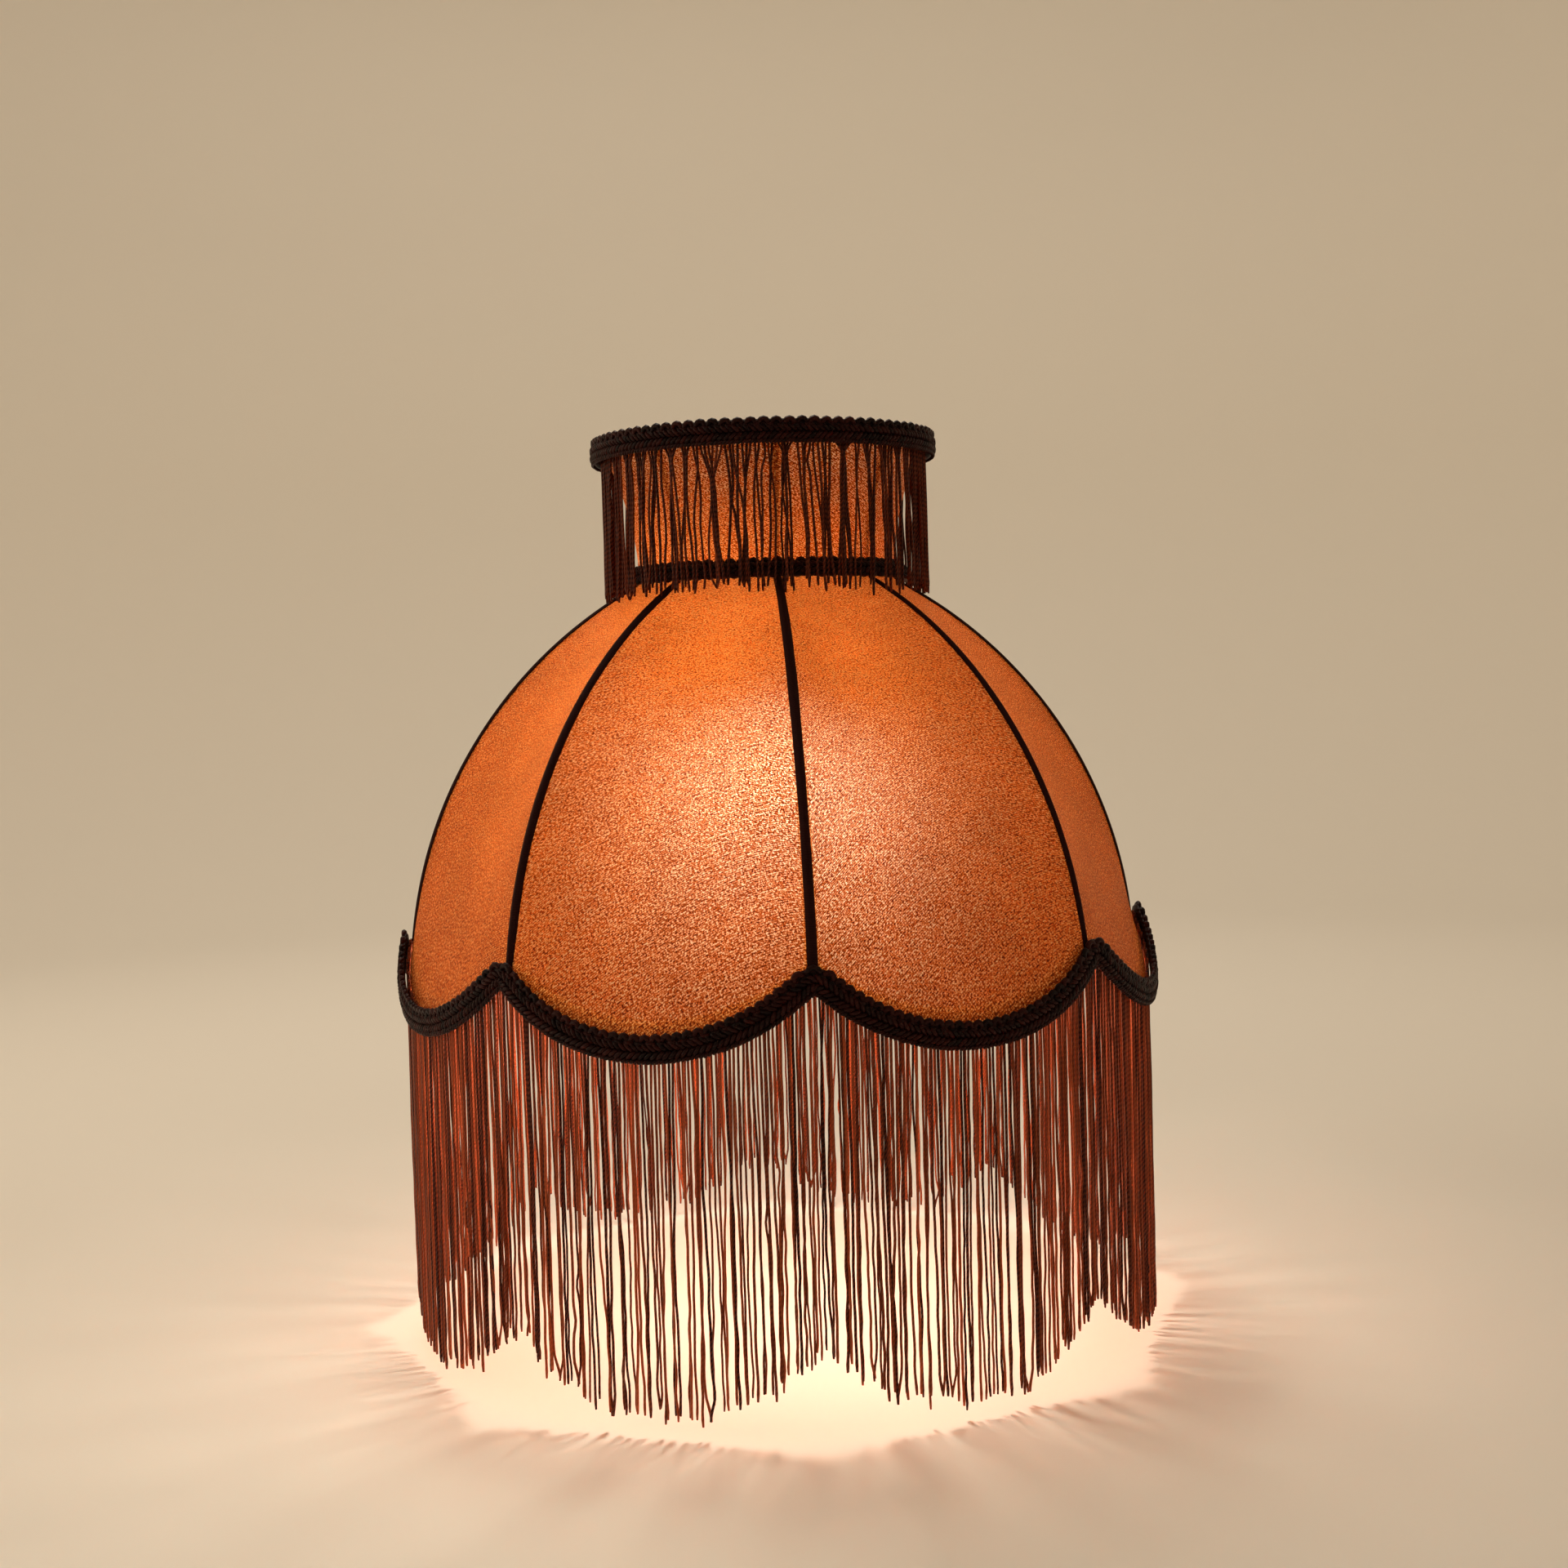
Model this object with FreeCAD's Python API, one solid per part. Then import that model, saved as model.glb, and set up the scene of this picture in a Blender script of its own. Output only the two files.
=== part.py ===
"""Fringed dome lamp shade: a wire frame of eight ribs, a flared collar and a scalloped rim, covered
in stretched fabric and finished with braid and two fringes. Millimetres, +Z up. The origin is the
centre of the spider washer's hole, where the shade hangs. Rib 1 faces -Y, and the ribs count
anticlockwise seen from above."""

import FreeCAD, Part
import os
from math import cos, pi, radians, sin, sqrt

Vec = FreeCAD.Vector
OUT = "parts"

# Layout
RIBS = 8
STEP = 2 * pi / RIBS
HALF = STEP / 2
FIRST_RIB = -pi / 2

# Frame wires
RING_WIRE = 3.0
RIB_WIRE = 3.0
STRUT_WIRE = 2.5
RIM_WIRE = 3.0
ARM_WIRE = 3.2
WELD = 0.05  # left between two wires that a weld bead joins

# Spider: the washer sits in a recess below the top ring
WASHER_R = 18.0
WASHER_T = 2.0
WASHER_HOLE_R = 5.55
RECESS = 12.7
ARMS = 4
ARM_LEVEL_R = 56.0  # the arm runs level to here, then climbs to the ring
ARM_BEND_R = 20.0

# Top ring
TOP_RING_R = 79.5
TOP_RING_Z = RECESS

# Fabric
FABRIC = 0.8
CLEAR = 0.15  # between fabric and the wire or trim that it lies on
BAND_CLEAR = 0.4
BAND_START = 3.1  # the collar band's lower edge, above the waist ring
SEAM = 0.002  # share of a panel's half width left open at its seam
SEAM_SPREAD = 1.2  # two panels meet at a corner over a wire, which so lies deeper

# Dome profile at a rib, outer face of the fabric: one arc, and below it a straight run
DOME_TOP_R = 64.4
DOME_TOP_Z = -53.9
DOME_START = radians(27.1)  # slope below the horizontal at the waist
DOME_FOOT = radians(83.8)  # at the foot of the rib
DOME_BEND_R = 229.6
ARC_LENGTH = DOME_BEND_R * (pi / 2 - DOME_START)
RIB_LENGTH = DOME_BEND_R * (DOME_FOOT - DOME_START)
PANEL_START = 1.2  # the panel's top edge, past the waist ring
PANEL_PULL = 3.0  # tension across a panel over tension down it

# Scallops
SCALLOP_DROP = 31.0
SCALLOP_DEPTH = 0.46  # rise of the scallop's arc over its half chord
RIM_CLEAR = 0.5
RIB_FOOT = 3.6  # the rib stops this far short of the rim, on the joint of two rim wires

# Rib tapes
TAPE_W = 4.2
TAPE_T = 1.0
TAPE_START = 13.0  # under the edge of the waist gimp
TAPE_END = 9.0  # and short of the rim braid

# Braids, as height and thickness of their oval section
TOP_BRAID = (13.4, 7.0)
WAIST_GIMP = (12.6, 3.6)
WAIST_GIMP_LEAN = radians(36.0)
WAIST_GIMP_R = 72.2
WAIST_GIMP_Z = -51.4
RIM_BRAID = (14.0, 5.4)
RIM_BRAID_CLEAR = 0.8  # its oval leans a little against the upright fringe
MITRE_OVER = 0.12  # angle that a length of rim braid runs on, before its mitre cuts it
RIM_SPACE = (150.0, 230.0, -330.0, -180.0)  # radii and heights that hold the rim braid

# Fringes
SHORT_FRINGE_T = 1.4
SHORT_FRINGE_TOP = 9.0
SHORT_FRINGE_END = -62.6
LONG_FRINGE_T = 2.0
LONG_FRINGE_HEADER = 6.0  # hidden behind the rim braid
LONG_FRINGE_DROP = 157.0  # free length of its strands
SLIT = 0.2  # between neighbouring lengths of a fringe


def polar(radius, angle, z):
    return Vec(radius * cos(angle), radius * sin(angle), z)


def rib_angle(k):
    return FIRST_RIB + k * STEP


def scallop(u):
    """The scallop's curve from 0 at a rib (u = -1 or 1) to 1 at the middle of a panel (u = 0)."""
    rho = (1 + SCALLOP_DEPTH**2) / (2 * SCALLOP_DEPTH)
    return (sqrt(rho**2 - u**2) - rho + SCALLOP_DEPTH) / SCALLOP_DEPTH


def profile(s, offset=0.0):
    """Radius and height of the rib line, s along it from the waist, moved outward by offset."""
    t = DOME_START + min(s, ARC_LENGTH) / DOME_BEND_R
    straight = max(s - ARC_LENGTH, 0.0)
    r = DOME_TOP_R + DOME_BEND_R * (sin(t) - sin(DOME_START)) + straight * cos(t)
    z = DOME_TOP_Z + DOME_BEND_R * (cos(t) - cos(DOME_START)) - straight * sin(t)
    return r + offset * sin(t), z + offset * cos(t)


def panel_length(u):
    return RIB_LENGTH + SCALLOP_DROP * scallop(u)


def rib_centre(s):
    return profile(s, -SEAM_SPREAD * (FABRIC + CLEAR + RIB_WIRE / 2))


WAIST_R, WAIST_Z = rib_centre(0)


def across(k, r, z, u):
    """A point u of the way from the middle of panel k to its rib, on the round of radius r."""
    middle = rib_angle(k) + HALF
    out = r * cos(HALF) + r * (1 - cos(HALF)) * scallop(u)
    side = r * sin(HALF) * u
    return Vec(out * cos(middle) - side * sin(middle), out * sin(middle) + side * cos(middle), z)


def stretched(rows, rounds=400):
    """Lets the inner points of a grid settle between their neighbours, as taut cloth does."""
    share = PANEL_PULL / (2 * PANEL_PULL + 2)
    for _ in range(rounds):
        for i in range(1, len(rows) - 1):
            for j in range(1, len(rows[0]) - 1):
                beside = rows[i - 1][j] + rows[i + 1][j]
                along = rows[i][j - 1] + rows[i][j + 1]
                rows[i][j] = beside * share + along * (0.5 - share)
    return rows


def grid_surface(rows):
    surface = Part.BSplineSurface()
    surface.interpolate(rows)
    return surface


def skin(outer, inner):
    """The closed solid between two grids of points."""
    a, b = grid_surface(outer), grid_surface(inner)
    faces = [a.toShape(), b.toShape()]
    au0, au1, av0, av1 = a.bounds()
    bu0, bu1, bv0, bv1 = b.bounds()
    edges = [
        (a.uIso(au0), b.uIso(bu0)),
        (a.uIso(au1), b.uIso(bu1)),
        (a.vIso(av0), b.vIso(bv0)),
        (a.vIso(av1), b.vIso(bv1)),
    ]
    for one, other in edges:
        faces.append(Part.makeRuledSurface(one.toShape(), other.toShape()))
    shell = Part.Shell(faces)
    shell.sewShape()
    solid = Part.Solid(shell)
    if solid.Volume < 0:
        solid.reverse()
    return solid


def spaced(low, high, count):
    return [low + (high - low) * i / (count - 1) for i in range(count)]


def disc_face(centre, normal, radius):
    return Part.Face(Part.Wire(Part.Circle(centre, normal, radius).toShape()))


def bent_wire(start, middle, end, diameter, trim=0.0):
    """A round wire along the arc through three points, with trim taken off each end."""
    arc = Part.Arc(start, middle, end).toShape()
    circle = arc.Curve
    first, last = arc.ParameterRange
    cut = trim / circle.Radius
    centre, axis = circle.Center, circle.Axis
    foot, along = circle.value(first + cut), circle.tangent(first + cut)[0]
    return disc_face(foot, along, diameter / 2).revolve(
        centre, axis, (last - first - 2 * cut) * 180 / pi
    )


def oval_face(centre, tall, thick, height, thickness):
    """An oval with its height along tall and its thickness along thick."""
    ellipse = Part.Ellipse(centre + tall * (height / 2), centre + thick * (thickness / 2), centre)
    return Part.Face(Part.Wire(ellipse.toShape()))


def turn(shape, angle):
    copy = shape.copy()
    copy.rotate(Vec(0, 0, 0), Vec(0, 0, 1), angle * 180 / pi)
    return copy


def save(name, *solids):
    for solid in solids:
        if not solid.isValid() or solid.Volume <= 0:
            print("bad solid in", name)
    shape = solids[0] if len(solids) == 1 else Part.makeCompound(list(solids))
    shape.exportStep(os.path.join(OUT, name + ".step"))
    print("%-18s %2d solid(s) %8.2f cm3" % (name, len(solids), shape.Volume / 1000))


def spider_washer():
    disc = Part.makeCylinder(WASHER_R, WASHER_T, Vec(0, 0, -WASHER_T / 2))
    hole = Part.makeCylinder(WASHER_HOLE_R, WASHER_T * 2, Vec(0, 0, -WASHER_T))
    return disc.cut(hole)


def spider_arm():
    """Level from the washer's edge, then up to the top ring, along +X."""
    start = Vec(WASHER_R + WELD, 0, 0)
    corner = Vec(ARM_LEVEL_R, 0, 0)
    ring = Vec(TOP_RING_R, 0, TOP_RING_Z)
    climb = (ring - corner).normalize()
    end = ring - climb * (RING_WIRE / 2 + WELD)
    turn_angle = climb.getAngle(Vec(1, 0, 0))
    reach = ARM_BEND_R * sin(turn_angle / 2) / cos(turn_angle / 2)
    bend_in = corner - Vec(reach, 0, 0)
    bend_out = corner + climb * reach
    centre = bend_in + Vec(0, 0, ARM_BEND_R)
    inner = (corner - centre).normalize()
    path = Part.Wire(
        [
            Part.LineSegment(start, bend_in).toShape(),
            Part.Arc(bend_in, centre + inner * ARM_BEND_R, bend_out).toShape(),
            Part.LineSegment(bend_out, end).toShape(),
        ]
    )
    section = Part.Wire(Part.Circle(start, Vec(1, 0, 0), ARM_WIRE / 2).toShape())
    return path.makePipeShell([section], True, False)


def ring(radius, z, wire):
    return Part.makeTorus(radius, wire / 2, Vec(0, 0, z))


def flare(z, offset=0.0):
    """Radius of the collar's trumpet flare at height z: an arc that leaves the waist upright."""
    rise, spread = TOP_RING_Z - WAIST_Z, TOP_RING_R - WAIST_R
    bend = (rise**2 + spread**2) / (2 * spread)
    return WAIST_R + bend - sqrt(bend**2 - (z - WAIST_Z) ** 2) + offset


def flare_points(offset, low, high, angle=0.0):
    return [polar(flare(z, offset), angle, z) for z in (low, (low + high) / 2, high)]


def collar_strut(k):
    points = flare_points(0, WAIST_Z, TOP_RING_Z, rib_angle(k))
    return bent_wire(*points, STRUT_WIRE, trim=RING_WIRE / 2 + WELD)


def rib(k):
    """From the waist ring to the rim, in one bend."""
    run = RIB_LENGTH - RIB_FOOT
    stations = [rib_centre(s) for s in (RING_WIRE / 2 + WELD, run / 2, run)]
    return bent_wire(*[polar(r, rib_angle(k), z) for r, z in stations], RIB_WIRE)


def rim_points(k, offset, lift=0.0):
    """Foot of rib k, middle of the scallop and foot of the next rib, offset outward."""
    points = []
    for u in (-1, 0, 1):
        r, z = profile(panel_length(u), offset)
        points.append(across(k, r, z + lift, u))
    return points


def rim_wire(k):
    """A scallop's wire; its ends are trimmed so that it only just meets the next one."""
    points = rim_points(k, -(FABRIC + RIM_CLEAR + RIM_WIRE / 2), RIM_WIRE / 2)
    return bent_wire(*points, RIM_WIRE, trim=RIM_WIRE / 2)


def dome_panel(k):
    """One fabric panel, taut between two ribs, the waist ring and its scallop of the rim."""
    grids = []
    for offset in (0.0, -FABRIC):
        rows = []
        for u in spaced(-1 + SEAM, 1 - SEAM, 11):
            stations = [profile(s, offset) for s in spaced(PANEL_START, panel_length(u), 15)]
            rows.append([across(k, r, z, u) for r, z in stations])
        grids.append(stretched(rows))
    return skin(*grids)


def collar_band():
    """A band of fabric round the outside of the struts, from the waist to the top ring."""
    low, high = WAIST_Z + BAND_START, TOP_RING_Z + RING_WIRE / 2
    offset = RING_WIRE / 2 + BAND_CLEAR
    inner = flare_points(offset, low, high)
    outer = flare_points(offset + FABRIC, low, high)
    face = Part.Face(band_outline(inner, outer))
    return face.revolve(Vec(0, 0, 0), Vec(0, 0, 1), 360)


def band_outline(inner, outer):
    """The closed wire between two arcs, each given by three points."""
    return Part.Wire(
        [
            Part.Arc(*inner).toShape(),
            Part.LineSegment(inner[2], outer[2]).toShape(),
            Part.Arc(*reversed(outer)).toShape(),
            Part.LineSegment(outer[0], inner[0]).toShape(),
        ]
    )


def rib_tape(k):
    """A narrow tape over the seam, bent along the rib."""
    angle = rib_angle(k)
    side = Vec(-sin(angle), cos(angle), 0)
    arcs = []
    for offset in (CLEAR, CLEAR + TAPE_T):
        stations = [profile(s, offset) for s in spaced(TAPE_START, RIB_LENGTH - TAPE_END, 3)]
        arcs.append([polar(r, angle, z) for r, z in stations])
    outline = band_outline(*arcs)
    outline.translate(side * (-TAPE_W / 2))
    return Part.Face(outline).extrude(side * TAPE_W)


def round_braid(radius, z, size, lean=0.0):
    """A braid of oval section round the axis, its lower edge leaning outward."""
    tall = Vec(-sin(lean), 0, cos(lean))
    thick = Vec(cos(lean), 0, sin(lean))
    face = oval_face(Vec(radius, 0, z), tall, thick, *size)
    return face.revolve(Vec(0, 0, 0), Vec(0, 0, 1), 360)


def rim_braid(k):
    """One scallop's length of the rim braid, mitred at the ribs."""
    height, thickness = RIM_BRAID
    offset = CLEAR + LONG_FRINGE_T + RIM_BRAID_CLEAR + thickness / 2
    start, middle, end = rim_points(k, offset)
    arc = Part.Arc(start, middle, end).toShape()
    circle = arc.Curve
    first, last = arc.ParameterRange
    foot = circle.value(first - MITRE_OVER)
    along = circle.tangent(first - MITRE_OVER)[0]
    out = Vec(foot.x, foot.y, 0).normalize()
    thick = (out - along * out.dot(along)).normalize()
    tall = along.cross(thick)
    face = oval_face(foot, tall, thick, height, thickness)
    length = face.revolve(circle.Center, circle.Axis, (last - first + 2 * MITRE_OVER) * 180 / pi)
    return length.common(sector(k, *RIM_SPACE, SLIT))


def sector(k, inner, outer, low, high, gap):
    """The wedge of space that belongs to panel k, less half a gap at each side."""
    cut = gap / 2 / inner
    begin = rib_angle(k) + cut
    points = [polar(r, begin, low) for r in (inner, outer)]
    up = Vec(0, 0, high - low)
    face = Part.Face(
        Part.makePolygon([points[0], points[1], points[1] + up, points[0] + up, points[0]])
    )
    return face.revolve(Vec(0, 0, 0), Vec(0, 0, 1), (STEP - 2 * cut) * 180 / pi)


def short_fringe(k):
    """An eighth of the short fringe, hanging straight down from the top ring."""
    inner = TOP_RING_R + RING_WIRE / 2 + BAND_CLEAR + FABRIC + CLEAR
    return sector(k, inner, inner + SHORT_FRINGE_T, SHORT_FRINGE_END, SHORT_FRINGE_TOP, SLIT)


def long_fringe(k, low_u, high_u):
    """Part of a panel's long fringe, hanging straight down from the scalloped rim."""
    grids = []
    for offset in (CLEAR + LONG_FRINGE_T, CLEAR):
        rows = []
        for u in spaced(low_u, high_u, 6):
            r, rim = profile(panel_length(u), offset)
            top = rim + LONG_FRINGE_HEADER
            end = rim - RIM_BRAID[0] / 2 - LONG_FRINGE_DROP
            rows.append([across(k, r, z, u) for z in spaced(top, end, 4)])
        grids.append(rows)
    return skin(*grids)


def main():
    os.makedirs(OUT, exist_ok=True)
    save("spider_washer", spider_washer())
    arm = spider_arm()
    for n in range(ARMS):
        save("spider_arm_%d" % (n + 1), turn(arm, FIRST_RIB + HALF + n * 2 * pi / ARMS))
    save("top_ring", ring(TOP_RING_R, TOP_RING_Z, RING_WIRE))
    save("waist_ring", ring(WAIST_R, WAIST_Z, RING_WIRE))
    for k in range(RIBS):
        save("collar_strut_%d" % (k + 1), collar_strut(k))
        save("rib_%d" % (k + 1), rib(k))
        save("rim_wire_%d" % (k + 1), rim_wire(k))
        save("dome_panel_%d" % (k + 1), dome_panel(k))
        save("rib_tape_%d" % (k + 1), rib_tape(k))
    save("collar_band", collar_band())
    header = TOP_RING_R + RING_WIRE / 2 + BAND_CLEAR + FABRIC + SHORT_FRINGE_T + 2 * CLEAR
    save("top_braid", round_braid(header + TOP_BRAID[1] / 2, TOP_RING_Z, TOP_BRAID))
    save("waist_gimp", round_braid(WAIST_GIMP_R, WAIST_GIMP_Z, WAIST_GIMP, WAIST_GIMP_LEAN))
    save("rim_braid", *[rim_braid(k) for k in range(RIBS)])
    save("short_fringe", *[short_fringe(k) for k in range(RIBS)])
    edge = SLIT / (2 * DOME_BEND_R * sin(HALF))
    halves = [(-1 + edge, -edge), (edge, 1 - edge)]
    save("long_fringe", *[long_fringe(k, *half) for k in range(RIBS) for half in halves])


main()
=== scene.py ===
"""The looks of the fringed dome lamp shade: taut cloth panels, woven gimps and hundreds of hanging
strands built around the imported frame. Metres, in the CAD's frame: +Z up, rib 1 towards -Y."""

from math import cos, pi, radians, sin, tan

import bpy
import numpy as np
from mathutils import Matrix, Vector


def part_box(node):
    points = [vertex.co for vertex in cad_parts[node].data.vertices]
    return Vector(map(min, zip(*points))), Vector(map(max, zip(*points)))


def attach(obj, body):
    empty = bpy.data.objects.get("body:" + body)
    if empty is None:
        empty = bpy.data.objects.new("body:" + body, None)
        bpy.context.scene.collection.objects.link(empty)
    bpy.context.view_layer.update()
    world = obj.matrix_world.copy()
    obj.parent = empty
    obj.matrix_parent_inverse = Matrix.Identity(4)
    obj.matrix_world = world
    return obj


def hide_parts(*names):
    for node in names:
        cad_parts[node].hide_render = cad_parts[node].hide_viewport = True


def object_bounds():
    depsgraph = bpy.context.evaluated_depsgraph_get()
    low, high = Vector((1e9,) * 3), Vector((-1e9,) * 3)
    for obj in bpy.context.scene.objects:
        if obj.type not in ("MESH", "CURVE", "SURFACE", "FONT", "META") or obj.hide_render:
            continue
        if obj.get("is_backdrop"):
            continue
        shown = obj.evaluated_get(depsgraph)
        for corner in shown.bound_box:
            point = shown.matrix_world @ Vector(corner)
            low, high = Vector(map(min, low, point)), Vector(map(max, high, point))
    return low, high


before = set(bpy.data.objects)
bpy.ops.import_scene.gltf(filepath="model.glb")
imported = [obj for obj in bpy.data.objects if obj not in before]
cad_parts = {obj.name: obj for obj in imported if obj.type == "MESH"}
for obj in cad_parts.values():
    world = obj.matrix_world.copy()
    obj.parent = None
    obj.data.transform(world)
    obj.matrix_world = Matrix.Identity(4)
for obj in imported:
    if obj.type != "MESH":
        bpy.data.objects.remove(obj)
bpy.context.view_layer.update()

MM = 0.001
RIBS = 8
STEP = 2 * pi / RIBS
HALF = STEP / 2
FIRST_RIB = -pi / 2

# The dome's outline at a rib, as the CAD has it
DOME_TOP_R = 64.4 * MM
DOME_TOP_Z = -53.9 * MM
DOME_START = radians(27.1)
DOME_FOOT = radians(83.8)
DOME_BEND_R = 229.6 * MM
ARC_LENGTH = DOME_BEND_R * (pi / 2 - DOME_START)
RIB_LENGTH = DOME_BEND_R * (DOME_FOOT - DOME_START)
SCALLOP_DROP = 31 * MM
SCALLOP_DEPTH = 0.46  # rise of the scallop's arc over its half chord

# Cloth
FABRIC = 0.8 * MM
BAND_CLEAR = 0.4 * MM  # between the collar's cloth and its rings
BAND_START = 2.6 * MM  # the collar cloth's lower edge, above the waist ring
BAND_DRAW = 0.9 * MM  # how far it is drawn in between two struts
PANEL_START = 1.2 * MM  # the panel's top edge, past the waist ring
PANEL_PULL = 3.0  # tension across a panel over tension down it
PUCKER = 0.5 * MM  # ripples where a panel is sewn to its ribs
HOLLOW = 0.7 * MM  # how unevenly it is stretched
CLOTH_ROLL = 400  # mm either way that a panel's place on the roll of cloth may shift

# Where the frame's rings are
TOP_LOW, TOP_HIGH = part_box("top_ring")
WAIST_LOW, WAIST_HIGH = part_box("waist_ring")
RING_WIRE = TOP_HIGH.z - TOP_LOW.z
TOP_R = TOP_HIGH.x - RING_WIRE / 2
TOP_Z = (TOP_LOW.z + TOP_HIGH.z) / 2
WAIST_R = WAIST_HIGH.x - RING_WIRE / 2
WAIST_Z = (WAIST_LOW.z + WAIST_HIGH.z) / 2

# Trim
# The eighth tape is wider: its extra width is painted shade beside its rib
TAPE_WIDTHS = [4.6, 4.2, 4.4, 4.3, 4.5, 4.4, 4.3, 5.6]  # mm, cut and sewn by hand
TAPE_START = 4 * MM
TAPE_END = 1 * MM  # past the foot of the rib
TAPE_RISE = 0.85 * MM
TAPE_LIFT = 0.15 * MM
TOP_GIMP_OUT = 5.6 * MM  # the top gimp's middle, outside the ring's wire
WAIST_GIMP_R = 71.4 * MM
WAIST_GIMP_Z = -51.8 * MM
RIM_GIMP_OUT = 3.6 * MM  # the rim gimp's middle, outside the fabric
LONG_DROP = 157 * MM  # below the rim gimp
LONG_TUCK = 10 * MM  # behind it
LONG_ROOT = 3 * MM  # above the rim's line
LONG_SPACING = 2.15 * MM
SHORT_END_Z = -61.5 * MM
SHORT_TUCK = 2 * MM
SHORT_SPACING = 2.05 * MM
STRAND_JITTER = 0.14  # of the spacing, either way
STRAND_DEPTH = 0.45 * MM  # in front of or behind the fringe's line
KINK_SIZES = (0.6, 1.5)  # mm, smallest and largest
TIP_RADII = [1.12, 0.8]  # a strand swells a little just before its cut end
TONES = (1.4, 2.4)  # more dark strands than light ones: a beta distribution's two numbers

SEED = 11
STRAND_SIDES = 5
CORD_SIDES = 6

# Light
DAYLIGHT = (1.0, 0.90, 0.80)
LAMPLIGHT = (1.0, 0.80, 0.60)
BULB_LIGHT = (1.0, 0.91, 0.76)
BULB_PLACE = (0.010, -0.014, -0.168)
BULB_SIZE = 0.035
BULB_POWER = 3.6
FRONT_POWER = 5.4
FRONT_AIM = (-0.72, -0.69, 0.3)
FRONT_SPREAD = radians(170)
BACKDROP_LIGHTS = 6
BACKDROP_POWER = 2.3
BACKDROP_SWING = 1.5  # more behind the shade than in front of it
ROOM_STRENGTH = 0.05

# Camera
CAMERA_DISTANCE = 1.052
CAMERA_HEIGHT = -0.1085
CAMERA_TURN = radians(-4.5)  # round the shade, from straight in front of rib 1
CAMERA_YAW = radians(0.32)
CAMERA_PITCH = radians(2.8)
CAMERA_ROLL = radians(1.7)
FOCAL_PIXELS = 2469
FRAME_PIXELS = 1920
SENSOR_WIDTH = 36.0


# ---------------------------------------------------------------- materials


def tree_of(name):
    """A new material and its empty node tree."""
    material = bpy.data.materials.new(name)
    material.use_nodes = True
    material.node_tree.nodes.clear()
    return material, material.node_tree


def add(tree, kind, values=None, **props):
    """A shader node, with its inputs set to numbers or linked to other sockets."""
    node = tree.nodes.new(kind)
    for key, value in props.items():
        setattr(node, key, value)
    for key, value in (values or {}).items():
        if isinstance(value, bpy.types.NodeSocket):
            tree.links.new(value, node.inputs[key])
        else:
            node.inputs[key].default_value = value
    return node


def math(tree, operation, a, b=0.0, c=0.0):
    """One sum. MULTIPLY_ADD is a times b, plus c."""
    return add(tree, "ShaderNodeMath", {0: a, 1: b, 2: c}, operation=operation).outputs[0]


def noise(tree, vector, scale, detail=2.0, roughness=0.5):
    values = {"Vector": vector, "Scale": scale, "Detail": detail, "Roughness": roughness}
    return add(tree, "ShaderNodeTexNoise", values).outputs["Fac"]


def stretch(tree, vector, scale, turn=0.0):
    """Coordinates scaled along each axis and turned about Z."""
    values = {"Vector": vector, "Scale": scale, "Rotation": (0, 0, turn)}
    return add(tree, "ShaderNodeMapping", values).outputs[0]


def ramp(tree, factor, *stops):
    """Colours between stops, each (position, (r, g, b))."""
    node = add(tree, "ShaderNodeValToRGB", {"Fac": factor})
    band = node.color_ramp
    while len(band.elements) < len(stops):
        band.elements.new(0.5)
    for element, (position, colour) in zip(band.elements, stops):
        element.position = position
        element.color = (*colour, 1)
    return node.outputs[0]


def rescale(tree, value, low, high, out_low, out_high):
    """A value moved from one range to another and held inside it."""
    values = {"Value": value, "From Min": low, "From Max": high}
    values |= {"To Min": out_low, "To Max": out_high}
    return add(tree, "ShaderNodeMapRange", values, clamp=True).outputs[0]


def tint(tree, colour, by):
    """A colour made darker or lighter by a factor."""
    return add(tree, "ShaderNodeVectorMath", {0: colour, "Scale": by}, operation="SCALE").outputs[0]


def bump(tree, height, strength, distance):
    values = {"Height": height, "Strength": strength, "Distance": distance}
    return add(tree, "ShaderNodeBump", values).outputs[0]


def finish_with(tree, shader):
    add(tree, "ShaderNodeOutputMaterial", {"Surface": shader})


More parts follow.
